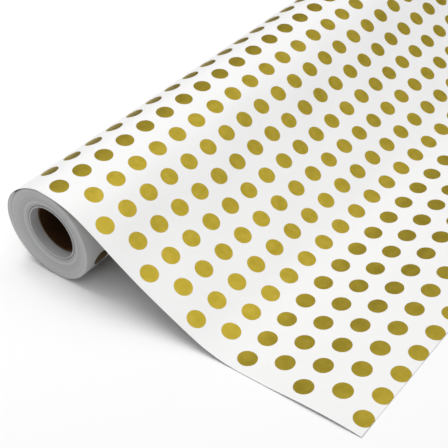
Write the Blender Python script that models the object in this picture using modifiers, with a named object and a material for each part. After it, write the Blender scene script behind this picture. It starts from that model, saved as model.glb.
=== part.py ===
"""Gift wrap roll on a paperboard core, with its loose end drawn off over a table.

Metres, +Z up. The roll's axis runs along +Y and the loose sheet runs off towards +X.
The origin is on the table, under the centre of the whole object.
"""

import math

import bmesh
import bpy

COLLECTION = "wrapping_paper_roll"

# The web: the long printed sheet. Its build thickness stands for 0.07 mm paper.
WEB_WIDTH = 0.610
WEB_THICKNESS = 0.0004

# The last wrap has come loose, so it is a wider circle than the tight roll inside it.
# It sags onto that roll just past its top, most of all in the first half of the sag.
WRAP_RADIUS = 0.0435
WRAP_END_ANGLE = 268.0
WRAP_STEP_ANGLE = 5.0
WRAP_SAG = 0.0019
WRAP_SAG_END = 180.0
WRAP_SAG_SKEW = 0.7

# The tight roll. Its inner turns have slid a little along the axis, towards +Y.
ROLL_RADIUS = 0.0425
ROLL_BORE_RADIUS = 0.0239
ROLL_OFFSET = 0.0035
ROLL_GAP = 0.0003
RIM_WIDTH = 0.0030
TELESCOPE = 0.0033
ROLL_STEPS = 96

# The core: a tube of three plies, shorter than the web is wide.
CORE_BORE_RADIUS = 0.0212
CORE_LENGTH = 0.594
CORE_RECESS = 0.0081
PLY_THICKNESS = 0.00045
PLY_GAP = 0.0003
PLY_NAMES = ("core_inner_ply", "core_middle_ply", "core_outer_ply")
CORE_STEPS = 64

# The drawn-off web, from its free edge back towards the roll: each pair is a distance
# along the web and its slope there, in degrees, positive where it climbs to the roll.
FREE_END = ((0.0, 6.0), (0.033, 0.3), (0.068, -4.2), (0.090, 0.0))
TABLE_CONTACT = ((0.090, 0.0), (0.104, 0.0))
FOOT = ((0.104, 0.0), (0.148, 26.0), (0.196, 29.5))
FALL = (29.5, 36.8)
CREST = ((0.0, 36.8), (0.025, 32.4), (0.050, 15.0), (0.073, 3.3))

# The free sheet lifts about a line in the middle of its stretch on the table.
LIFT_LINE = 0.097
LIFT_GAP = 0.0003
SAMPLE_LENGTH = 0.006

# Edges that turn more than this many degrees stay sharp, and all the rest are shaded smooth.
SHARP_ANGLE = 35.0

WHITE_PAPER = ((0.88, 0.88, 0.88, 1.0), 0.35)
PAPER_EDGES = ((0.62, 0.62, 0.61, 1.0), 0.80)
KRAFT_INNER = ((0.20, 0.12, 0.06, 1.0), 0.90)
KRAFT_MIDDLE = ((0.26, 0.17, 0.09, 1.0), 0.90)
KRAFT_OUTER = ((0.23, 0.14, 0.07, 1.0), 0.90)


def clear_scene():
    for obj in list(bpy.data.objects):
        bpy.data.objects.remove(obj, do_unlink=True)


def new_collection(name):
    collection = bpy.data.collections.new(name)
    bpy.context.scene.collection.children.link(collection)
    return collection


def new_material(name, finish):
    colour, roughness = finish
    material = bpy.data.materials.new(name)
    material.use_nodes = True
    shader = material.node_tree.nodes["Principled BSDF"]
    shader.inputs["Base Color"].default_value = colour
    shader.inputs["Roughness"].default_value = roughness
    shader.inputs["Metallic"].default_value = 0.0
    return material


def add_object(name, mesh, collection, material, location):
    obj = bpy.data.objects.new(name, mesh)
    obj.location = location
    obj.data.materials.append(material)
    collection.objects.link(obj)
    return obj


def mean_sine(start, end):
    """Rise per unit length of a run whose slope turns evenly from start to end, in degrees."""
    if math.isclose(start, end):
        return math.sin(math.radians(start))
    a = math.radians(start)
    b = math.radians(end)
    return (math.cos(a) - math.cos(b)) / (b - a)


def rise(pairs):
    """Height gained along a list of (distance, slope) pairs."""
    return sum((far - near) * mean_sine(start, end) for (near, start), (far, end) in zip(pairs, pairs[1:]))


def web_stations():
    """All (distance, slope) pairs from the free edge to where the web leaves the wrap.

    The length of the straight fall is what makes the foot meet the table.
    """
    leaving = CREST[-1][1]
    top = WRAP_RADIUS * (1.0 + math.cos(math.radians(leaving)))
    needed = top - WEB_THICKNESS - rise(FOOT) - rise(CREST)
    fall_end = FOOT[-1][0] + needed / mean_sine(*FALL)
    crest = [(fall_end + distance, slope) for distance, slope in CREST]
    return list(FREE_END) + list(TABLE_CONTACT[1:]) + list(FOOT[1:]) + crest


def slope_at(stations, distance):
    for (near, start), (far, end) in zip(stations, stations[1:]):
        if distance <= far:
            share = (distance - near) / (far - near)
            return start + share * (end - start)
    return stations[-1][1]


def step_along(stations, near, far):
    """Move, in X and Z, from one distance to a further one on the same run."""
    start = slope_at(stations, near)
    end = slope_at(stations, far)
    across = mean_sine(start + 90.0, end + 90.0)
    return -(far - near) * across, (far - near) * mean_sine(start, end)


def sheet_marks(stations):
    """Distances at which the sheet has a point: each run is cut into even short steps."""
    cuts = sorted({distance for distance, _ in stations} | {LIFT_LINE})
    marks = [cuts[0]]
    for near, far in zip(cuts, cuts[1:]):
        count = max(1, round((far - near) / SAMPLE_LENGTH))
        marks += [near + (far - near) * k / count for k in range(1, count + 1)]
    return marks


def sheet_points():
    """(distance, x, z) on the printed face of the drawn-off web, with x from the wrap's axis."""
    stations = web_stations()
    marks = sheet_marks(stations)
    points = [(marks[0], 0.0, 0.0)]
    for near, far in zip(marks, marks[1:]):
        dx, dz = step_along(stations, near, far)
        points.append((far, points[-1][1] + dx, points[-1][2] + dz))
    leaving = math.radians(stations[-1][1])
    shift_x = WRAP_RADIUS * math.sin(leaving) - points[-1][1]
    shift_z = WRAP_RADIUS * (1.0 + math.cos(leaving)) - points[-1][2]
    return [(distance, x + shift_x, z + shift_z) for distance, x, z in points]


def wrap_radius(angle):
    """Radius of the loose wrap's printed face at an angle past where the sheet leaves it."""
    start = 90.0 - CREST[-1][1]
    share = min((angle - start) / (WRAP_SAG_END - start), 1.0)
    return WRAP_RADIUS - WRAP_SAG * math.sin(math.pi * share**WRAP_SAG_SKEW) ** 2


def wrap_points():
    """(x, z) on the printed face of the loose wrap, from where the sheet leaves it."""
    start = 90.0 - CREST[-1][1]
    first = math.ceil(start / WRAP_STEP_ANGLE)
    last = math.floor(WRAP_END_ANGLE / WRAP_STEP_ANGLE)
    angles = [first * WRAP_STEP_ANGLE + k * WRAP_STEP_ANGLE for k in range(last - first + 1)]
    angles.append(WRAP_END_ANGLE)
    return [
        (wrap_radius(a) * math.cos(math.radians(a)), WRAP_RADIUS + wrap_radius(a) * math.sin(math.radians(a)))
        for a in angles
    ]


def pull_back(points, gap):
    """Moves the last (x, z) point back along its run, to leave a gap at the lift line."""
    (x0, z0), (x1, z1) = points[-2:]
    length = math.hypot(x1 - x0, z1 - z0)
    share = (length - gap) / length
    return points[:-1] + [(x0 + (x1 - x0) * share, z0 + (z1 - z0) * share)]


def strip_mesh(name, points):
    """Open strip through (x, z) points, as wide as the web, with the printed face outwards."""
    bm = bmesh.new()
    verts = [bm.verts.new((x, -WEB_WIDTH / 2, z)) for x, z in points]
    for a, b in zip(verts, verts[1:]):
        bm.edges.new((a, b))
    made = bmesh.ops.extrude_edge_only(bm, edges=bm.edges[:])
    far_side = [item for item in made["geom"] if isinstance(item, bmesh.types.BMVert)]
    bmesh.ops.translate(bm, verts=far_side, vec=(0.0, WEB_WIDTH, 0.0))
    bm.normal_update()
    on_table = max(bm.faces, key=lambda face: face.calc_center_median().x)
    if on_table.normal.z < 0:
        bmesh.ops.reverse_faces(bm, faces=bm.faces[:])
    mesh = bpy.data.meshes.new(name)
    bm.to_mesh(mesh)
    bm.free()
    return mesh


def add_sheet(name, points, centre, collection, material):
    """Sheet solid: the strip through the printed face's points, thickened inwards."""
    local = [(x - centre[0], z - centre[2]) for x, z in points]
    obj = add_object(name, strip_mesh(name, local), collection, material, centre)
    solidify = obj.modifiers.new("paper_thickness", "SOLIDIFY")
    solidify.thickness = WEB_THICKNESS
    solidify.offset = -1.0
    solidify.use_even_offset = True
    return obj


def add_turned(name, profile, steps, centre, collection, material):
    """Solid turned about the Y axis through centre, from a closed (radius, y) outline.

    The outline runs from its +Y end down the outer side to its -Y end and back inside.
    """
    mesh = bpy.data.meshes.new(name)
    points = [(radius, 0.0, y) for radius, y in profile]
    count = len(points)
    mesh.from_pydata(points, [(k, (k + 1) % count) for k in range(count)], [])
    obj = add_object(name, mesh, collection, material, centre)
    obj.rotation_euler = (-math.pi / 2, 0.0, 0.0)
    screw = obj.modifiers.new("turn", "SCREW")
    screw.steps = steps
    screw.render_steps = steps
    screw.use_merge_vertices = True
    screw.merge_threshold = 0.00001
    return obj


def shade_round(obj):
    """Applies the object's modifiers and shades the result smooth, but for its corners."""
    graph = bpy.context.evaluated_depsgraph_get()
    mesh = bpy.data.meshes.new_from_object(obj.evaluated_get(graph))
    obj.modifiers.clear()
    obj.data = mesh
    mesh.name = obj.name
    mesh.shade_smooth()
    mesh.set_sharp_from_angle(angle=math.radians(SHARP_ANGLE))


def add_wound_web(centre, collection):
    half = WEB_WIDTH / 2
    slid = half + TELESCOPE
    rim = ROLL_RADIUS - RIM_WIDTH
    profile = (
        (ROLL_RADIUS, half),
        (ROLL_RADIUS, -half),
        (rim, -half),
        (ROLL_BORE_RADIUS, TELESCOPE - half),
        (ROLL_BORE_RADIUS, slid),
        (rim, half),
    )
    material = new_material("wound_paper", PAPER_EDGES)
    add_turned("wound_web", profile, ROLL_STEPS, centre, collection, material)


def add_core(centre, collection):
    """Three coaxial plies, one inside the other, on one length."""
    finishes = (KRAFT_INNER, KRAFT_MIDDLE, KRAFT_OUTER)
    for index, (name, finish) in enumerate(zip(PLY_NAMES, finishes)):
        inner = CORE_BORE_RADIUS + index * (PLY_THICKNESS + PLY_GAP)
        outer = inner + PLY_THICKNESS
        half = CORE_LENGTH / 2
        profile = ((outer, half), (outer, -half), (inner, -half), (inner, half))
        add_turned(name, profile, CORE_STEPS, centre, collection, new_material(name, finish))


def add_web(wrap_x, web_y, collection):
    """The loose web up to the lift line, and the free sheet beyond it."""
    sheet = sheet_points()
    free = [(x + wrap_x, z) for distance, x, z in sheet if distance <= LIFT_LINE]
    drape = [(x + wrap_x, z) for distance, x, z in sheet if distance >= LIFT_LINE]
    hinge = (free[-1][0], web_y, free[-1][1])
    wrap = [(x + wrap_x, z) for x, z in wrap_points()]
    paper = new_material("printed_paper", WHITE_PAPER)
    loose = list(reversed(wrap)) + list(reversed(drape))
    add_sheet("loose_web", pull_back(loose, LIFT_GAP / 2), (wrap_x, web_y, WRAP_RADIUS), collection, paper)
    add_sheet("free_sheet", pull_back(free, LIFT_GAP / 2), hinge, collection, paper)


def build():
    clear_scene()
    collection = new_collection(COLLECTION)
    wrap_x = (WRAP_RADIUS - sheet_points()[0][1]) / 2
    web_y = -TELESCOPE / 2
    roll_z = WEB_THICKNESS + ROLL_GAP + ROLL_RADIUS
    roll_x = wrap_x + ROLL_OFFSET
    core_y = web_y - WEB_WIDTH / 2 + TELESCOPE + CORE_RECESS + CORE_LENGTH / 2
    add_web(wrap_x, web_y, collection)
    add_wound_web((roll_x, web_y, roll_z), collection)
    add_core((roll_x, core_y, roll_z), collection)
    for obj in collection.objects:
        shade_round(obj)


build()
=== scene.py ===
"""Looks of the gift wrap roll: the printed web with its gold dots, the wound roll and its core.

Metres, +Z up. The web is measured along its own length, from its free edge back over the
roll, and across its width along Y. One mapping carries those two distances to the shape.
"""

import math
import random

import bmesh
import bpy
import numpy as np
from mathutils import Matrix, Vector


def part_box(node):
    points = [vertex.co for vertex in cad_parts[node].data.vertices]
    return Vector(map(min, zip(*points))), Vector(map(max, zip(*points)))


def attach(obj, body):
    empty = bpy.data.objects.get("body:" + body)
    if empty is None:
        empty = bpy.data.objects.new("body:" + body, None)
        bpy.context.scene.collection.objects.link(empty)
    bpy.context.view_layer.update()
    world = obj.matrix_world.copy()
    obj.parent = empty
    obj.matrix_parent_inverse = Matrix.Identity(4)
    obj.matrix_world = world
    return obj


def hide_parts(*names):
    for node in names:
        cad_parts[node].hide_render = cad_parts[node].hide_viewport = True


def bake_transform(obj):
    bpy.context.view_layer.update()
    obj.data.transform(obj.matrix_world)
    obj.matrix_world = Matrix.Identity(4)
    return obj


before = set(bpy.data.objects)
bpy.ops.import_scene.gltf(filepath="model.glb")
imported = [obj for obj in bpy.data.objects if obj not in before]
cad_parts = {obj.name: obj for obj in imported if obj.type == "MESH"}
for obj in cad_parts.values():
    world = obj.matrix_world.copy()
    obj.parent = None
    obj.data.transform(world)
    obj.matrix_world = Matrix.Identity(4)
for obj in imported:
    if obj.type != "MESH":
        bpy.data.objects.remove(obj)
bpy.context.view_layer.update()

SEED = 7

# The camera: angles in degrees, round the point that it aims at.
CAMERA_AIM = Vector((-0.02605, -0.20427, 0.03))
CAMERA_AZIMUTH = 40.397
CAMERA_ELEVATION = 38.678
CAMERA_ROLL = 4.026
CAMERA_DISTANCE = 0.8200
CAMERA_LENS_MM = 80.35

# Studio light: a dim surround with one very broad soft light overhead, and a soft lamp that
# hangs high over the roll's side. The camera sees the surround as a plain pale backdrop.
OVERHEAD_SIDE = Vector((0.165, -0.050, 0.985))
OVERHEAD_SHARPNESS = 3.3
OVERHEAD_LIGHT = 1.83
SURROUND_LIGHT = 0.05
BACKDROP_LIGHT = 0.62
LAMP_SPOT = (-0.55, -0.20, 1.50)
LAMP_SIZE = 0.8
LAMP_WATTS = 11.0
FLOOR_HALF = 12.0
FLOOR_DROP = 0.00005

# The web's shape, as in the CAD model: its loose wrap, then (distance, slope) pairs.
WEB_THICKNESS = 0.0004
WRAP_RADIUS = 0.0435
WRAP_END_ANGLE = 268.0
WRAP_SAG = 0.0019
WRAP_SAG_END = 180.0
WRAP_SAG_SKEW = 0.7
WRAP_SAMPLES = 400
FREE_END = ((0.0, 6.0), (0.033, 0.3), (0.068, -4.2), (0.090, 0.0))
FOOT = ((0.104, 0.0), (0.148, 26.0), (0.196, 29.5))
FALL = (29.5, 36.8)
CREST = ((0.0, 36.8), (0.025, 32.4), (0.050, 15.0), (0.073, 3.3))
MAP_STEP = 0.0005

# The paper itself is thinner than its CAD solid. It lies on that solid's inner face, so that
# it rests on the table, and is cut just inside the solid's free edge.
PAPER_THICKNESS = 0.00012
FREE_TRIM = 0.0010
SHEET_STEP = 0.0023
SHEET_COLUMN = 0.0050

# Slow waves in the paper where nothing holds it down: (height, wave along, wave across, phase).
WAVES = ((0.00022, 0.11, 0.19, 0.4), (0.00016, 0.07, -0.12, 2.1), (0.00010, 0.19, 0.075, 4.0))
WAVES_GROW = (0.110, 0.170)
WAVES_FADE = (0.270, 0.310)

# The free edge lifts here and there, and the near side edge all along the flat part.
EDGE_LIFT = 0.00012
EDGE_LIFT_REACH = 0.060
EDGE_WAVE = 0.21
EDGE_WAVE_PHASE = 1.0
SIDE_LIFT = 0.00060
SIDE_LIFT_REACH = 0.022

# The dots: rows step along the web, and odd rows sit half a pitch further across.
DOT_PITCH = 0.0254
DOT_RADIUS = 0.00778
DOT_ROW_STEP = 0.025113
DOT_FIRST_ROW = 0.00797
DOT_FIRST_ACROSS = 0.01447
DOT_SIDES = 36
DOT_RINGS = 3
DOT_PROUD = 0.00004
DOT_SUNK = 0.00006

# The tight roll.
ROLL_RADIUS = 0.0425
ROLL_BORE_RADIUS = 0.0239
RIM_WIDTH = 0.0030
TELESCOPE = 0.0033
TURN_WIDTH = 0.00030
ROLL_SIDES = 144

# How its ends step: each ring of turns slides a little, some of them together as a ledge, and
# sways round the axis. The outermost rings are level. A groove runs round the bore's mouth, and
# at the near end the rings inside it stand proud as a lip.
LEVEL_RINGS = 2
RING_SLIDE = 0.00008
LEDGE_CHANCE = 0.16
LEDGE_SLIDE = 0.00016
SWAY = 0.00004
SWAY_DRIFT = 0.5
MOUTH_RINGS = 2
MOUTH_LIP = 0.0004
MOUTH_GROOVE = 0.0005

# Materials of the roll, in the order of its slots.
FACE_SLOT, ENDS_SLOT, BORE_SLOT = range(3)

# Greys across the roll's end, from the bore's mouth out to the rim, as (share, grey). They are darker
# than the paper partly as the ends' own tone and partly as painted shade. The light first stops are a
# painted highlight on the mouth's lip, the dark stops just outside it painted shade in the groove, and
# the darker last stops painted shade at the rim. The slack turns lie past the rim, and have a tone of
# their own.
END_TONES_AND_PAINTED_SHADE = (
    (0.000, 0.76),
    (0.034, 0.72),
    (0.046, 0.25),
    (0.105, 0.30),
    (0.145, 0.56),
    (0.500, 0.51),
    (0.930, 0.59),
    (0.965, 0.50),
    (1.000, 0.50),
)
LOOSE_TONES = ((0.0, 0.66), (1.0, 0.70))

# Slack turns fill the crescent between the roll and the last wrap wherever it is wider than
# LOOSE_ROOM, but for a gap on either side. Where it is narrower it stays open.
LOOSE_TURNS = 9
LOOSE_SIDES = 96
LOOSE_GAP = 0.00030
LOOSE_ROOM = 0.0017
LOOSE_SLIDE = 0.00030

# The roll's own outer turn: its first row of dots past the wrap's end, and how far across.
ROLL_FIRST_ROW = 0.0005
ROLL_FIRST_ACROSS = 0.0171
ROLL_DOT_ROWS = 10

# The core.
CORE_BORE_RADIUS = 0.0212
PLY_THICKNESS = 0.00045
PLY_GAP = 0.0003
CORE_SIDES = 72
CORE_ROW = 0.0045
CORE_LEAD = 0.170
SEAM_WIDTH = 0.0006
SEAM_FLOOR = (0.25, 0.75)
SEAM_DEPTH = 0.00018

# Edges that turn by more than these degrees stay sharp.
SHARP_SHEET = 40.0
SHARP_TURNS = 30.0
SHARP_PLY = 50.0

# Colours, as (bright, dull) pairs.
PRINTED_FACE = ((0.866, 0.863, 0.859, 1.0), (0.842, 0.839, 0.835, 1.0))
# The plain back is grey rather than paper white: painted shade that darkens the space under the drape.
PLAIN_BACK_PAINTED_SHADE = ((0.57, 0.57, 0.555, 1.0), (0.53, 0.53, 0.515, 1.0))
# The roll's own printed face is greyer than the sheet's though it is the same paper: painted shade on
# the roll's side under the drape.
WOUND_FACE_PAINTED_SHADE = ((0.66, 0.66, 0.655, 1.0), (0.62, 0.62, 0.615, 1.0))
# The innermost turn, the bore's paper wall, is dark grey: painted shade inside the bore.
INNER_TURN_PAINTED_SHADE = ((0.50, 0.50, 0.505, 1.0), (0.44, 0.44, 0.445, 1.0))
GOLD_INK = ((0.71, 0.543, 0.072, 1.0), (0.585, 0.441, 0.043, 1.0))
# The roll's dots take a darker copy of the gold ink: painted shade for dots that lie under the drape.
GOLD_INK_IN_PAINTED_SHADE = ((0.18, 0.105, 0.008, 1.0), (0.12, 0.070, 0.005, 1.0))
# The bore's kraft is far darker than the board's: brown kraft, darkened as painted shade deep in the
# bore.
KRAFT_BORE_PAINTED_SHADE = ((0.066, 0.030, 0.012, 1.0), (0.030, 0.014, 0.005, 1.0))
KRAFT_BOARD = ((0.20, 0.125, 0.070, 1.0), (0.13, 0.080, 0.045, 1.0))
KRAFT_WRAP = ((0.15, 0.090, 0.050, 1.0), (0.10, 0.060, 0.034, 1.0))
FLOOR = ((0.910, 0.910, 0.920, 1.0), (0.895, 0.895, 0.905, 1.0))

# Paper finishes, as (roughness, depth of the tooth that its fibres leave).
COATED = (0.42, 0.00002)
HANDLED = (0.50, 0.00002)
UNCOATED = (0.80, 0.00005)
UNCOATED_INSIDE = (0.75, 0.00005)

# Each material's patterns. Plain scales are in waves per metre, and depths and drifts in metres.
# A stretch scales places along X, Y and Z, so that below 1 it draws the pattern out. A share is
# how much of one pattern is added to another, and the shades are factors on the tone.
PAPER_CLOUDS = 45.0
PAPER_TOOTH = 1500.0
TOOTH_STRETCH = (1.0, 0.45, 1.0)
RING_WANDER = 9.0
RING_DRIFT = 0.0012
FINE_RINGS = 5200.0
BROAD_RINGS = 520.0
FINE_SHARE = 0.45
RING_SHADES = (0.80, 1.16)
RING_DEPTH = 0.00012
INK_LAY = 160.0
INK_FLAKES = 5200.0
FLAKE_SHARE = 0.5
FLAKE_DEPTH = 0.00002
KRAFT_FIBRES = 900.0
FIBRE_STRETCH = (1.0, 0.25, 1.0)
FIBRE_SHARE = 0.6
FIBRE_DEPTH = 0.00010
KRAFT_MOTTLE = 60.0
KRAFT_SPECKS = 480.0
KRAFT_SPECULAR = 0.1
FLOOR_CLOUDS = 3.0

# The core's plies from the bore outwards: piece, CAD node that it stands for, the record's
# material slot, and the name and colours of its kraft.
PLIES = (
    ("core_bore_ply", "core_inner_ply", "kraft_inner", "kraft_bore_painted_shade", KRAFT_BORE_PAINTED_SHADE),
    ("core_board_ply", "core_middle_ply", "kraft_middle", "kraft_board", KRAFT_BOARD),
    ("core_wrap_ply", "core_outer_ply", "kraft_outer", "kraft_wrap", KRAFT_WRAP),
)


# ---------------------------------------------------------------- the web's path


def mean_sine(start, end):
    """Rise per unit length of a run whose slope turns evenly from start to end, in degrees."""
    if math.isclose(start, end):
        return math.sin(math.radians(start))
    a = math.radians(start)
    b = math.radians(end)
    return (math.cos(a) - math.cos(b)) / (b - a)


def rise(pairs):
    """Height gained along a list of (distance, slope) pairs."""
    runs = zip(pairs, pairs[1:])
    return sum((far - near) * mean_sine(start, end) for (near, start), (far, end) in runs)


def web_stations():
    """(distance, slope) pairs from the free edge to where the sheet leaves the wrap."""
    top = WRAP_RADIUS * (1.0 + math.cos(math.radians(CREST[-1][1])))
    needed = top - WEB_THICKNESS - rise(FOOT) - rise(CREST)
    fall_end = FOOT[-1][0] + needed / mean_sine(*FALL)
    return [*FREE_END, *FOOT, *((fall_end + distance, slope) for distance, slope in CREST)]


def drawn_off_points():
    """Arrays of x, from the wrap's axis, and z along the printed face of the drawn-off sheet."""
    distances, slopes = np.array(web_stations()).T
    count = round(distances[-1] / MAP_STEP)
    along = np.linspace(0.0, distances[-1], count + 1)
    slope = np.radians(np.interp(along, distances, slopes))
    middle = (slope[1:] + slope[:-1]) / 2
    step = np.diff(along)
    x = np.concatenate([[0.0], np.cumsum(-step * np.cos(middle))])
    z = np.concatenate([[0.0], np.cumsum(step * np.sin(middle))])
    leaving = slope[-1]
    from_axis = x - x[-1] + WRAP_RADIUS * math.sin(leaving)
    height = z - z[-1] + WRAP_RADIUS * (1.0 + math.cos(leaving))
    return from_axis, height


def wrap_radius(angles):
    """Radius of the wrap's printed face about its own axis, at angles in degrees.

    It sags towards the roll past its top.
    """
    start = 90.0 - CREST[-1][1]
    share = np.minimum((angles - start) / (WRAP_SAG_END - start), 1.0)
    return WRAP_RADIUS - WRAP_SAG * np.sin(math.pi * share**WRAP_SAG_SKEW) ** 2


def wrap_points():
    """Arrays of x, from the wrap's axis, and z along the loose wrap, down to its hidden end."""
    start = 90.0 - CREST[-1][1]
    angles = np.linspace(start, WRAP_END_ANGLE, WRAP_SAMPLES + 1)[1:]
    radius = wrap_radius(angles)
    turn = np.radians(angles)
    return radius * np.cos(turn), WRAP_RADIUS + radius * np.sin(turn)


def web_path(wrap_x):
    """Arrays of distance, x, z and slope, in radians, along the whole printed face."""
    x, z = (np.concatenate(parts) for parts in zip(drawn_off_points(), wrap_points()))
    along = np.concatenate([[0.0], np.cumsum(np.hypot(np.diff(x), np.diff(z)))])
    slope = np.arctan2(np.gradient(z, along), -np.gradient(x, along))
    return along, x + wrap_x, z, slope


def smooth(value, start, end):
    """0 before start, 1 after end, and a smooth turn between them."""
    share = np.clip((value - start) / (end - start), 0.0, 1.0)
    return share * share * (3.0 - 2.0 * share)


def wave_height(along, across):
    """How far the free paper stands off its CAD shape."""
    free = smooth(along, *WAVES_GROW) * (1.0 - smooth(along, *WAVES_FADE))
    waves = sum(
        height * np.sin(2.0 * math.pi * (along / length + across / width) + phase)
        for height, length, width, phase in WAVES
    )
    end = (1.0 - smooth(along, 0.0, EDGE_LIFT_REACH)) * EDGE_LIFT
    end = end * (0.5 + 0.5 * np.sin(2.0 * math.pi * across / EDGE_WAVE + EDGE_WAVE_PHASE))
    from_side = across - WEB_SPAN[0]
    side = SIDE_LIFT * (1.0 - smooth(from_side, 0.0, SIDE_LIFT_REACH))
    side = side * (1.0 - smooth(along, *WAVES_GROW))
    return free * waves + end + side


def place_on_web(along, across, height):
    """World points from arrays of distance along, place across and height over the printed face."""
    distances, x, z, slope = WEB_PATH
    turn = np.interp(along, distances, slope)
    lift = height + wave_height(along, across) - (WEB_THICKNESS - PAPER_THICKNESS)
    return np.stack(
        [
            np.interp(along, distances, x) + lift * np.sin(turn),
            across + np.zeros_like(turn),
            np.interp(along, distances, z) + lift * np.cos(turn),
        ],
        axis=-1,
    )


def place_on_roll(along, across, height):
    """The same for the roll's own outer turn, where along starts at the wrap's end."""
    angle = math.radians(WRAP_END_ANGLE) + along / ROLL_RADIUS
    radius = ROLL_RADIUS + height
    x = ROLL_CENTRE.x + radius * np.cos(angle)
    z = ROLL_CENTRE.z + radius * np.sin(angle)
    return np.stack([x, across + np.zeros_like(angle), z], axis=-1)


# ---------------------------------------------------------------- mesh making


def signed_volume(points, quads):
    """Six times the volume inside the quads, positive where they face outwards."""
    a, b, c, d = (points[quads[:, k]] for k in range(4))
    return float((np.cross(a, b) * c).sum() + (np.cross(a, c) * d).sum())


def closed_mesh(name, points, quads, origin=(0.0, 0.0, 0.0), sharp=SHARP_SHEET):
    """Object of a closed quad mesh, faced outwards, shaded smooth but for its corners."""
    points = np.asarray(points, float).reshape(-1, 3)
    if signed_volume(points - points.mean(0), quads) < 0:
        quads = quads[:, ::-1]
    mesh = bpy.data.meshes.new(name)
    mesh.from_pydata((points - np.array(origin)).tolist(), [], quads.tolist())
    mesh.shade_smooth()
    mesh.set_sharp_from_angle(angle=math.radians(sharp))
    obj = bpy.data.objects.new(name, mesh)
    obj.location = origin
    bpy.context.scene.collection.objects.link(obj)
    return obj


def thin_grid(top, bottom):
    """Points and quads of the thin closed body between two (rows, columns, 3) arrays.

    The quads are those of the top, then those of the bottom, then those of the edge.
    """
    rows, columns = top.shape[:2]
    index = np.arange(rows * columns).reshape(rows, columns)
    near, right = index[:-1, :-1], index[:-1, 1:]
    far, left = index[1:, 1:], index[1:, :-1]
    faces = np.stack([near, right, far, left], axis=-1).reshape(-1, 4)
    ring = np.concatenate([index[0, :-1], index[:-1, -1], index[-1, :0:-1], index[:0:-1, 0]])
    after = np.roll(ring, -1)
    below = rows * columns
    walls = np.stack([after, ring, ring + below, after + below], axis=-1)
    points = np.concatenate([top.reshape(-1, 3), bottom.reshape(-1, 3)])
    return points, np.concatenate([faces, faces[:, ::-1] + below, walls])


def ring_grid(points):
    """Quads of a body whose (angles, outline) points close up both ways."""
    index = np.arange(points.shape[0] * points.shape[1]).reshape(points.shape[:2])
    turned = np.roll(index, -1, axis=0)
    return np.stack(
        [index, turned, np.roll(turned, -1, axis=1), np.roll(index, -1, axis=1)], axis=-1
    ).reshape(-1, 4)


def arc_grid(points):
    """Quads of a body whose outline closes but whose angles stop: a cap stands at either end."""
    count, outline = points.shape[:2]
    index = np.arange(count * outline).reshape(count, outline)
    around = np.roll(index, -1, axis=1)
    sides = np.stack([index[:-1], index[1:], around[1:], around[:-1]], axis=-1).reshape(-1, 4)
    half = outline // 2
    near = index[:, :half]
    far = index[:, :half - 1:-1]
    first = np.stack([near[0, :-1], near[0, 1:], far[0, 1:], far[0, :-1]], axis=-1)
    last = np.stack([near[-1, :-1], far[-1, :-1], far[-1, 1:], near[-1, 1:]], axis=-1)
    return np.concatenate([sides, first, last])


def even_marks(start, end, step):
    """Places from start to end, evenly spaced by about a step."""
    return np.linspace(start, end, round((end - start) / step) + 1)


# ---------------------------------------------------------------- the printed web


def add_printed_web(face, back):
    """The whole drawn-off sheet: printed face and edges, and a plain back in a grey that is painted
    shade.
    """
    rows = even_marks(FREE_TRIM, WEB_LENGTH, SHEET_STEP)
    columns = even_marks(*WEB_SPAN, SHEET_COLUMN)
    along, across = np.meshgrid(rows, columns, indexing="ij")
    top = place_on_web(along, across, 0.0)
    bottom = place_on_web(along, across, -PAPER_THICKNESS)
    points, quads = thin_grid(top, bottom)
    obj = closed_mesh("printed_web", points, quads)
    obj.data.materials.append(face)
    obj.data.materials.append(back)
    one_side = (top.shape[0] - 1) * (top.shape[1] - 1)
    slots = np.zeros(len(quads), int)
    slots[one_side:2 * one_side] = 1
    obj.data.polygons.foreach_set("material_index", slots)
    return obj


def disc_points():
    """(u, v, is_top) of one disc of radius 1: its top centre and rings, then its low rim and centre."""
    rings = [(0.0, 0.0, 1.0)]
    for ring in range(1, DOT_RINGS + 1):
        for k in range(DOT_SIDES):
            turn = 2.0 * math.pi * k / DOT_SIDES
            share = ring / DOT_RINGS
            rings.append((share * math.cos(turn), share * math.sin(turn), 1.0))
    rim = [(u, v, 0.0) for u, v, _ in rings[-DOT_SIDES:]]
    return np.array(rings + rim + [(0.0, 0.0, 0.0)])


def disc_faces():
    """Faces of disc_points: a fan, bands between the rings, the rim wall and a fan below."""
    faces = []
    for k in range(DOT_SIDES):
        after = (k + 1) % DOT_SIDES
        faces.append((0, 1 + k, 1 + after))
        for ring in range(DOT_RINGS):
            inner = 1 + ring * DOT_SIDES
            outer = inner + DOT_SIDES
            faces.append((inner + k, outer + k, outer + after, inner + after))
        low = 1 + DOT_RINGS * DOT_SIDES
        faces.append((low + after, low + k, low + DOT_SIDES))
    return faces


def dot_centres(rows, first_row, first_across, span):
    """(distance, across) of every dot of these rows, with odd rows half a pitch further across."""
    near, far = span
    centres = []
    for row in rows:
        across = near + first_across + (row % 2) * DOT_PITCH / 2
        while across < far - DOT_RADIUS:
            centres.append((first_row + row * DOT_ROW_STEP, across))
            across += DOT_PITCH
    return centres


def trim(bm, point, outwards):
    """Cuts off all that lies beyond a plane and closes the cut."""
    parts = bm.verts[:] + bm.edges[:] + bm.faces[:]
    bmesh.ops.bisect_plane(bm, geom=parts, plane_co=point, plane_no=outwards, clear_outer=True)
    bmesh.ops.holes_fill(bm, edges=[edge for edge in bm.edges if edge.is_boundary])


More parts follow.
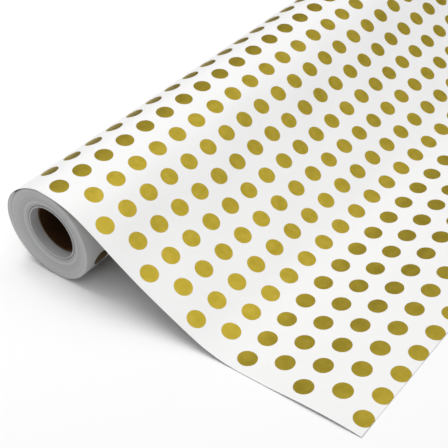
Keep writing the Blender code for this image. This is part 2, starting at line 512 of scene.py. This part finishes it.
def flat_dots(centres):
    """Mesh of the dots laid out flat, as (distance, across, height)."""
    disc = disc_points()
    heights = np.where(disc[:, 2] > 0, DOT_PROUD, -DOT_SUNK)
    points = []
    faces = []
    for along, across in centres:
        first = len(points) * len(disc)
        u = along + DOT_RADIUS * disc[:, 0]
        v = across + DOT_RADIUS * disc[:, 1]
        points.append(np.stack([u, v, heights], axis=-1))
        faces += [tuple(first + corner for corner in face) for face in disc_faces()]
    mesh = bpy.data.meshes.new("flat_dots")
    mesh.from_pydata(np.concatenate(points).tolist(), [], faces)
    return mesh


def trim_ends(mesh, start, end):
    """Cuts off the parts of flat dots that lie past the web's two ends, and closes the cuts."""
    bm = bmesh.new()
    bm.from_mesh(mesh)
    trim(bm, (start, 0.0, 0.0), (-1.0, 0.0, 0.0))
    trim(bm, (end, 0.0, 0.0), (1.0, 0.0, 0.0))
    bm.to_mesh(mesh)
    bm.free()


def add_dots(name, mesh, place, material):
    """Bends flat dots onto the paper with one of the place functions."""
    flat = np.empty(len(mesh.vertices) * 3)
    mesh.vertices.foreach_get("co", flat)
    along, across, height = flat.reshape(-1, 3).T
    mesh.vertices.foreach_set("co", place(along, across, height).astype(np.float32).ravel())
    mesh.name = name
    mesh.materials.append(material)
    bm = bmesh.new()
    bm.from_mesh(mesh)
    bmesh.ops.recalc_face_normals(bm, faces=bm.faces[:])
    bm.to_mesh(mesh)
    bm.free()
    mesh.shade_smooth()
    mesh.set_sharp_from_angle(angle=math.radians(SHARP_SHEET))
    obj = bpy.data.objects.new(name, mesh)
    bpy.context.scene.collection.objects.link(obj)
    return obj


def add_web_dots(gold):
    """The dots of the drawn-off sheet, cut where the web's two ends cut them."""
    last = math.floor((WEB_LENGTH + DOT_RADIUS - DOT_FIRST_ROW) / DOT_ROW_STEP)
    mesh = flat_dots(dot_centres(range(last + 1), DOT_FIRST_ROW, DOT_FIRST_ACROSS, WEB_SPAN))
    trim_ends(mesh, FREE_TRIM, WEB_LENGTH)
    return add_dots("web_dots", mesh, place_on_web, gold)


def add_roll_dots(gold):
    """The dots of the roll's own outer turn, in an ink darkened as painted shade."""
    mesh = flat_dots(dot_centres(range(ROLL_DOT_ROWS), ROLL_FIRST_ROW, ROLL_FIRST_ACROSS, ROLL_SPAN))
    return add_dots("roll_dots", mesh, place_on_roll, gold)


# ---------------------------------------------------------------- the wound roll


def dish(radius):
    """How far the turns at this radius have slid along the roll, towards +Y."""
    rim = ROLL_RADIUS - RIM_WIDTH
    share = np.clip((rim - radius) / (rim - ROLL_BORE_RADIUS), 0.0, 1.0)
    return TELESCOPE * share


def turn_offsets(rng, count, lip):
    """How far each ring of turns sits in from the dish, from the outer ring to the mouth's lip."""
    offsets = []
    ledge = 0.0
    for _ in range(count):
        if rng.random() < LEDGE_CHANCE:
            ledge = rng.uniform(0.0, LEDGE_SLIDE)
        offsets.append(ledge + rng.uniform(0.0, RING_SLIDE))
    offsets[:LEVEL_RINGS] = [0.0] * LEVEL_RINGS
    offsets[-MOUTH_RINGS:] = [-lip] * MOUTH_RINGS
    offsets[-2 * MOUTH_RINGS:-MOUTH_RINGS] = [MOUTH_GROOVE] * MOUTH_RINGS
    return offsets


def ringed_end(rng, edge, inwards, lip):
    """Radii, y and a sway phase of one end's steps, from the outer turn in to the bore."""
    count = round((ROLL_RADIUS - ROLL_BORE_RADIUS) / TURN_WIDTH)
    edges = np.linspace(ROLL_RADIUS, ROLL_BORE_RADIUS, count + 1)
    radii = np.repeat(edges, 2)[1:-1]
    slide = np.repeat(turn_offsets(rng, count, lip), 2)
    phase = np.repeat(np.cumsum([rng.uniform(0.0, SWAY_DRIFT) for _ in range(count)]), 2)
    return radii, edge + dish(radii) + inwards * slide, phase


def paint_roll(roll, materials, near_count, outline):
    """Gives the roll its printed face, its ringed ends and the plain back of its innermost turn, the
    face and the back greyed as painted shade.
    """
    for material in materials:
        roll.data.materials.append(material)
    slots = np.full((ROLL_SIDES, outline), ENDS_SLOT)
    slots[:, outline - 1] = FACE_SLOT
    slots[:, near_count - 1] = BORE_SLOT
    roll.data.polygons.foreach_set("material_index", slots.ravel())


def add_wound_roll(materials):
    """The tight roll: every few turns make a ring of their own on both ends."""
    rng = random.Random(SEED)
    near_r, near_y, near_phase = ringed_end(rng, ROLL_SPAN[0], 1.0, MOUTH_LIP)
    far_r, far_y, far_phase = ringed_end(rng, ROLL_SPAN[1], -1.0, 0.0)
    radii = np.concatenate([near_r, far_r[::-1]])
    ys = np.concatenate([near_y, far_y[::-1]]) - ROLL_CENTRE.y
    phase = np.concatenate([near_phase, far_phase[::-1]])
    inwards = np.concatenate([np.ones(len(near_r)), -np.ones(len(far_r))])
    angles = np.linspace(0.0, 2.0 * math.pi, ROLL_SIDES, endpoint=False)[:, None]
    sway = SWAY * (1.0 + np.sin(angles + phase)) * (radii < ROLL_RADIUS - TURN_WIDTH)
    y = ys + inwards * sway
    points = np.stack([radii * np.cos(angles), y, radii * np.sin(angles)], axis=-1)
    world = points.reshape(-1, 3) + np.array(ROLL_CENTRE)
    obj = closed_mesh("wound_roll", world, ring_grid(points), origin=ROLL_CENTRE, sharp=SHARP_TURNS)
    paint_roll(obj, materials, len(near_r), len(radii))
    return obj


def crescent():
    """Angles round the wrap's axis, in radians, and the two radii that the slack turns fill."""
    angles = np.linspace(90.0 - CREST[-1][1], WRAP_END_ANGLE, LOOSE_SIDES + 1)
    turn = np.radians(angles)
    off_x = ROLL_CENTRE.x - WRAP_X
    off_z = ROLL_CENTRE.z - WRAP_RADIUS
    towards = off_x * np.cos(turn) + off_z * np.sin(turn)
    aside = off_z * np.cos(turn) - off_x * np.sin(turn)
    low = towards + np.sqrt((ROLL_RADIUS + LOOSE_GAP) ** 2 - aside**2)
    high = wrap_radius(angles) - WEB_THICKNESS - LOOSE_GAP
    open_here = high - low > LOOSE_ROOM - 2.0 * LOOSE_GAP
    return turn[open_here], low[open_here], high[open_here]


def add_loose_turns(edges):
    """Slack turns as one crescent whose ends step a little from turn to turn."""
    rng = random.Random(SEED + 1)
    turn, low, high = crescent()
    share = np.repeat(np.linspace(1.0, 0.0, LOOSE_TURNS + 1), 2)[1:-1]
    slides = np.array([rng.uniform(0.0, LOOSE_SLIDE) for _ in range(2 * LOOSE_TURNS)])
    near_slide, far_slide = np.repeat(slides.reshape(2, -1), 2, axis=1)
    share = np.concatenate([share, share[::-1]])
    y = np.concatenate([ROLL_SPAN[0] + near_slide, (ROLL_SPAN[1] - far_slide)[::-1]])
    radius = low[:, None] + (high - low)[:, None] * share
    x = radius * np.cos(turn)[:, None]
    z = radius * np.sin(turn)[:, None]
    points = np.stack([x, y + np.zeros_like(x), z], axis=-1)
    origin = Vector((WRAP_X, 0.0, WRAP_RADIUS))
    world = points.reshape(-1, 3) + np.array(origin)
    obj = closed_mesh("loose_turns", world, arc_grid(points), origin=origin, sharp=SHARP_TURNS)
    obj.data.materials.append(edges)
    return obj


# ---------------------------------------------------------------- the core


def add_ply(name, inner, span, seamed, material):
    """One ply of the core: its points run along the helix that the strip was wound on.

    On a seamed ply, a shallow groove in the bore shows where the strip's edges meet.
    """
    outer = inner + PLY_THICKNESS
    low, high = span
    seam = SEAM_WIDTH / inner
    groove = [0.0, *(seam * share for share in SEAM_FLOOR)]
    angles = np.concatenate([groove, np.linspace(seam, 2.0 * math.pi, CORE_SIDES)[:-1]])
    depth = np.zeros(len(angles))
    depth[1:3] = SEAM_DEPTH if seamed else 0.0
    ys = even_marks(low, high, CORE_ROW)
    radii = np.concatenate([np.full(len(ys), inner), np.full(len(ys), outer)])
    y = np.concatenate([ys, ys[::-1]])
    cut = np.concatenate([np.ones(len(ys)), np.zeros(len(ys))])
    turn = angles[:, None] + 2.0 * math.pi * (y - low) / CORE_LEAD
    radius = radii + depth[:, None] * cut
    x = radius * np.cos(turn)
    z = radius * np.sin(turn)
    points = np.stack([x, y + np.zeros_like(turn), z], axis=-1)
    origin = Vector((ROLL_CENTRE.x, (low + high) / 2, ROLL_CENTRE.z))
    world = points.reshape(-1, 3) + np.array((origin.x, 0.0, origin.z))
    obj = closed_mesh(name, world, ring_grid(points), origin=origin, sharp=SHARP_PLY)
    obj.data.materials.append(material)
    return obj


def add_core():
    """The three plies, each riding on the core and standing for its CAD node."""
    low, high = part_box("core_outer_ply")
    for index, (name, cad_node, slot, kraft, colours) in enumerate(PLIES):
        inner = CORE_BORE_RADIUS + index * (PLY_THICKNESS + PLY_GAP)
        ply = add_ply(name, inner, (low.y, high.y), index == 0, kraft_material(kraft, colours))
        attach(ply, "core")
        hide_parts(cad_node)


# ---------------------------------------------------------------- materials


def node(tree, kind, output=0, **inputs):
    """Adds a shader node and returns one output, by number or name.

    Its properties and inputs are given by name, with _ for a space. An input whose name is
    shared is given by number, as i0. Values are set, and sockets are linked.
    """
    made = tree.nodes.new("ShaderNode" + kind)
    for name, value in inputs.items():
        if hasattr(made, name):
            setattr(made, name, value)
            continue
        key = int(name[1:]) if name[0] == "i" and name[1:].isdigit() else name.replace("_", " ")
        socket = made.inputs[key]
        if isinstance(value, bpy.types.NodeSocket):
            tree.links.new(value, socket)
        else:
            socket.default_value = value
    return made.outputs[output]


def new_material(name):
    """A material, its node tree and its shader node."""
    material = bpy.data.materials.new(name)
    material.use_nodes = True
    tree = material.node_tree
    return material, tree, tree.nodes["Principled BSDF"]


def object_place(tree):
    """Where a point lies from its object's own origin, so that the pattern moves with the piece."""
    return node(tree, "TexCoord", output="Object")


def stretched(tree, vector, scale):
    """Places scaled along X, Y and Z, so that a pattern on them is stretched the other way."""
    return node(tree, "Mapping", Vector=vector, Scale=scale)


def spread(tree, value, low, high):
    """Maps a 0 to 1 value onto low to high."""
    return node(tree, "MapRange", Value=value, To_Min=low, To_Max=high)


def between(tree, value, first, second):
    """Colour between two, by a value."""
    return node(tree, "Mix", output=2, data_type="RGBA", i0=value, i6=first, i7=second)


def bumped(tree, height, distance):
    """Normal of a surface that a 0 to 1 height raises by up to a distance."""
    return node(tree, "Bump", Height=height, Distance=distance, Strength=1.0)


def noise(tree, vector, scale, detail=3.0, roughness=0.5):
    return node(tree, "TexNoise", Vector=vector, Scale=scale, Detail=detail, Roughness=roughness)


def paper_material(name, colours, finish):
    """Coated or uncoated white paper: faint cloudiness, and a fine tooth from its fibres."""
    bright, dull = colours
    roughness, tooth_depth = finish
    material, tree, shader = new_material(name)
    place = object_place(tree)
    cloud = noise(tree, place, PAPER_CLOUDS, 4.0)
    tooth = noise(tree, stretched(tree, place, TOOTH_STRETCH), PAPER_TOOTH, 3.0, 0.6)
    tree.links.new(between(tree, cloud, dull, bright), shader.inputs["Base Color"])
    tree.links.new(spread(tree, cloud, roughness - 0.05, roughness + 0.05), shader.inputs["Roughness"])
    tree.links.new(bumped(tree, tooth, tooth_depth), shader.inputs["Normal"])
    return material


def ramp(tree, value, stops):
    """Grey by value, from (place, grey) stops."""
    made = tree.nodes.new("ShaderNodeValToRGB")
    tree.links.new(value, made.inputs[0])
    points = made.color_ramp.elements
    while len(points) < len(stops):
        points.new(0.5)
    for point, (place, grey) in zip(points, stops):
        point.position = place
        point.color = (grey, grey, grey, 1.0)
    return made.outputs[0]


def edge_material(name, tones):
    """The ends of wound turns: greys set by radius, which on the roll's end hold painted shade and a
    painted highlight, under fine rings of uneven tone.
    """
    darkest, lightest = RING_SHADES
    material, tree, shader = new_material(name)
    place = object_place(tree)
    flat = node(tree, "VectorMath", operation="MULTIPLY", i0=place, i1=(1.0, 0.0, 1.0))
    radius = node(tree, "VectorMath", output="Value", operation="LENGTH", i0=flat)
    share = node(tree, "MapRange", Value=radius, From_Min=ROLL_BORE_RADIUS, From_Max=ROLL_RADIUS)
    broad_tone = ramp(tree, share, tones)
    wander = noise(tree, place, RING_WANDER, 2.0)
    drift = node(tree, "Math", operation="MULTIPLY_ADD", i0=wander, i1=RING_DRIFT, i2=radius)
    fine = node(tree, "TexNoise", noise_dimensions="1D", W=drift, Scale=FINE_RINGS, Detail=2.0)
    broad = node(tree, "TexNoise", noise_dimensions="1D", W=drift, Scale=BROAD_RINGS, Detail=3.0)
    rings = node(tree, "Math", operation="MULTIPLY_ADD", i0=fine, i1=FINE_SHARE, i2=broad)
    shade = node(
        tree, "MapRange", Value=rings, From_Min=0.45, From_Max=1.05, To_Min=darkest, To_Max=lightest
    )
    tone = node(tree, "VectorMath", operation="SCALE", i0=broad_tone, Scale=shade)
    tree.links.new(tone, shader.inputs["Base Color"])
    tree.links.new(bumped(tree, rings, RING_DEPTH), shader.inputs["Normal"])
    tree.links.new(spread(tree, wander, 0.72, 0.88), shader.inputs["Roughness"])
    return material


def gold_material(name, colours):
    """Satin metallic ink: fine flake grain, and ink laid a little unevenly."""
    bright, dull = colours
    material, tree, shader = new_material(name)
    place = object_place(tree)
    lay = noise(tree, place, INK_LAY, 3.0)
    flake = noise(tree, place, INK_FLAKES, 2.0, 0.7)
    tone = node(tree, "Math", operation="MULTIPLY_ADD", i0=flake, i1=FLAKE_SHARE, i2=lay)
    shade = node(tree, "MapRange", Value=tone, From_Min=0.5, From_Max=1.0)
    tree.links.new(between(tree, shade, dull, bright), shader.inputs["Base Color"])
    tree.links.new(spread(tree, lay, 0.38, 0.50), shader.inputs["Roughness"])
    tree.links.new(bumped(tree, flake, FLAKE_DEPTH), shader.inputs["Normal"])
    shader.inputs["Metallic"].default_value = 1.0
    return material


def kraft_material(name, colours):
    """Brown board: fibres along the tube, dark specks and a soft mottle."""
    light, dark = colours
    material, tree, shader = new_material(name)
    place = object_place(tree)
    fibres = noise(tree, stretched(tree, place, FIBRE_STRETCH), KRAFT_FIBRES, 4.0, 0.65)
    mottle = noise(tree, place, KRAFT_MOTTLE, 3.0)
    specks = node(tree, "TexVoronoi", Vector=place, Scale=KRAFT_SPECKS)
    tone = node(tree, "Math", operation="MULTIPLY_ADD", i0=fibres, i1=FIBRE_SHARE, i2=mottle)
    shade = node(tree, "MapRange", Value=tone, From_Min=0.5, From_Max=1.1)
    body = between(tree, shade, dark, light)
    speck = node(tree, "MapRange", Value=specks, From_Min=0.05, From_Max=0.14, To_Min=0.55, To_Max=0.0)
    tree.links.new(between(tree, speck, body, dark), shader.inputs["Base Color"])
    tree.links.new(spread(tree, mottle, 0.78, 0.92), shader.inputs["Roughness"])
    tree.links.new(bumped(tree, fibres, FIBRE_DEPTH), shader.inputs["Normal"])
    shader.inputs["Specular IOR Level"].default_value = KRAFT_SPECULAR
    return material


def floor_material(name, colours):
    """A plain pale floor, faintly cloudy."""
    bright, dull = colours
    material, tree, shader = new_material(name)
    cloud = noise(tree, object_place(tree), FLOOR_CLOUDS, 2.0)
    tree.links.new(between(tree, cloud, dull, bright), shader.inputs["Base Color"])
    tree.links.new(spread(tree, cloud, 0.75, 0.85), shader.inputs["Roughness"])
    return material


# ---------------------------------------------------------------- the studio


def add_camera():
    """Camera turned about its aim, first round, then up, then rolled about its own axis."""
    azimuth = math.radians(CAMERA_AZIMUTH)
    elevation = math.radians(CAMERA_ELEVATION)
    level = math.cos(elevation)
    back = Vector((math.sin(azimuth) * level, -math.cos(azimuth) * level, math.sin(elevation)))
    turn = (-back).to_track_quat("-Z", "Y").to_matrix().to_4x4()
    data = bpy.data.cameras.new("camera")
    data.lens = CAMERA_LENS_MM
    data.clip_start = 0.01
    data.clip_end = 100.0
    camera = bpy.data.objects.new("camera", data)
    bpy.context.scene.collection.objects.link(camera)
    spot = Matrix.Translation(CAMERA_AIM + back * CAMERA_DISTANCE)
    camera.matrix_world = spot @ turn @ Matrix.Rotation(-math.radians(CAMERA_ROLL), 4, "Z")
    bpy.context.scene.camera = camera


def add_lamp():
    """A soft lamp that lights the paper but shows in no reflection."""
    data = bpy.data.lights.new("lamp", "AREA")
    data.shape = "DISK"
    data.size = LAMP_SIZE
    data.energy = LAMP_WATTS
    lamp = bpy.data.objects.new("lamp", data)
    bpy.context.scene.collection.objects.link(lamp)
    lamp.location = LAMP_SPOT
    lamp.rotation_euler = (-Vector(LAMP_SPOT)).to_track_quat("-Z", "Y").to_euler()
    lamp.visible_glossy = False


def add_world():
    """A dim surround that brightens overhead, as one broad soft lobe, seen as a plain pale backdrop."""
    world = bpy.data.worlds.new("studio")
    world.use_nodes = True
    tree = world.node_tree
    towards = node(tree, "TexCoord", output="Generated")
    overhead = OVERHEAD_SIDE.normalized()
    facing = node(tree, "VectorMath", output="Value", operation="DOT_PRODUCT", i0=towards, i1=overhead)
    ahead = node(tree, "Math", operation="MAXIMUM", i0=facing, i1=0.0)
    lobe = node(tree, "Math", operation="POWER", i0=ahead, i1=OVERHEAD_SHARPNESS)
    light = node(tree, "Math", operation="MULTIPLY_ADD", i0=lobe, i1=OVERHEAD_LIGHT, i2=SURROUND_LIGHT)
    seen = node(tree, "LightPath", output="Is Camera Ray")
    strength = node(tree, "Mix", i0=seen, i2=light, i3=BACKDROP_LIGHT)
    background = tree.nodes["Background"]
    background.inputs["Color"].default_value = (1.0, 1.0, 1.0, 1.0)
    tree.links.new(strength, background.inputs["Strength"])
    bpy.context.scene.world = world


def add_floor():
    """A wide floor, a hair under the table plane so that the paper doesn't meet it."""
    half = FLOOR_HALF
    mesh = bpy.data.meshes.new("studio_floor")
    corners = [(-half, -half, 0.0), (half, -half, 0.0), (half, half, 0.0), (-half, half, 0.0)]
    mesh.from_pydata(corners, [], [(0, 1, 2, 3)])
    mesh.materials.append(floor_material("floor", FLOOR))
    floor = bpy.data.objects.new("studio_floor", mesh)
    floor.location.z = -FLOOR_DROP
    bpy.context.scene.collection.objects.link(floor)


def add_studio():
    """Floor and light, shown without tone mapping so that white paper stays white."""
    bpy.context.scene.view_settings.view_transform = "Standard"
    add_world()
    add_lamp()
    add_floor()


# ---------------------------------------------------------------- assembly


# Places read from the CAD model's boxes. The roll's inner turns slid through its far end, so
# its outer turns end that much sooner than its box.
loose_low, loose_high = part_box("loose_web")
roll_low, roll_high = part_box("wound_web")
WRAP_X = loose_low.x + WRAP_RADIUS
WEB_SPAN = (loose_low.y, loose_high.y)
ROLL_SPAN = (roll_low.y, roll_high.y - TELESCOPE)
ROLL_CENTRE = Vector((
    (roll_low.x + roll_high.x) / 2,
    (ROLL_SPAN[0] + ROLL_SPAN[1]) / 2,
    (roll_low.z + roll_high.z) / 2,
))
WEB_PATH = web_path(WRAP_X)
WEB_LENGTH = float(WEB_PATH[0][-1])


def make_web():
    """The drawn-off sheet with its dots, in place of the CAD model's web and free sheet."""
    web = add_printed_web(
        paper_material("printed_face", PRINTED_FACE, COATED),
        paper_material("plain_back_painted_shade", PLAIN_BACK_PAINTED_SHADE, UNCOATED),
    )
    dots = add_web_dots(gold_material("gold_ink", GOLD_INK))
    for obj in (web, dots):
        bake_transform(obj)
    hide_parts("loose_web", "free_sheet")


def make_roll():
    """The tight roll with the dots on its outer turn, and the slack turns beside it."""
    # The roll's face and the back of its innermost turn are greyed as painted shade.
    outer = paper_material("wound_face_painted_shade", WOUND_FACE_PAINTED_SHADE, HANDLED)
    inner = paper_material("inner_turn_painted_shade", INNER_TURN_PAINTED_SHADE, UNCOATED_INSIDE)
    roll = add_wound_roll((outer, edge_material("turn_edges_and_painted_shade", END_TONES_AND_PAINTED_SHADE), inner))
    dots = add_roll_dots(gold_material("gold_ink_in_painted_shade", GOLD_INK_IN_PAINTED_SHADE))
    for obj in (roll, dots):
        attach(obj, "roll")
    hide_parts("wound_web")
    loose = add_loose_turns(edge_material("loose_edges", LOOSE_TONES))
    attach(loose, "web")


add_camera()
add_studio()
make_web()
make_roll()
add_core()
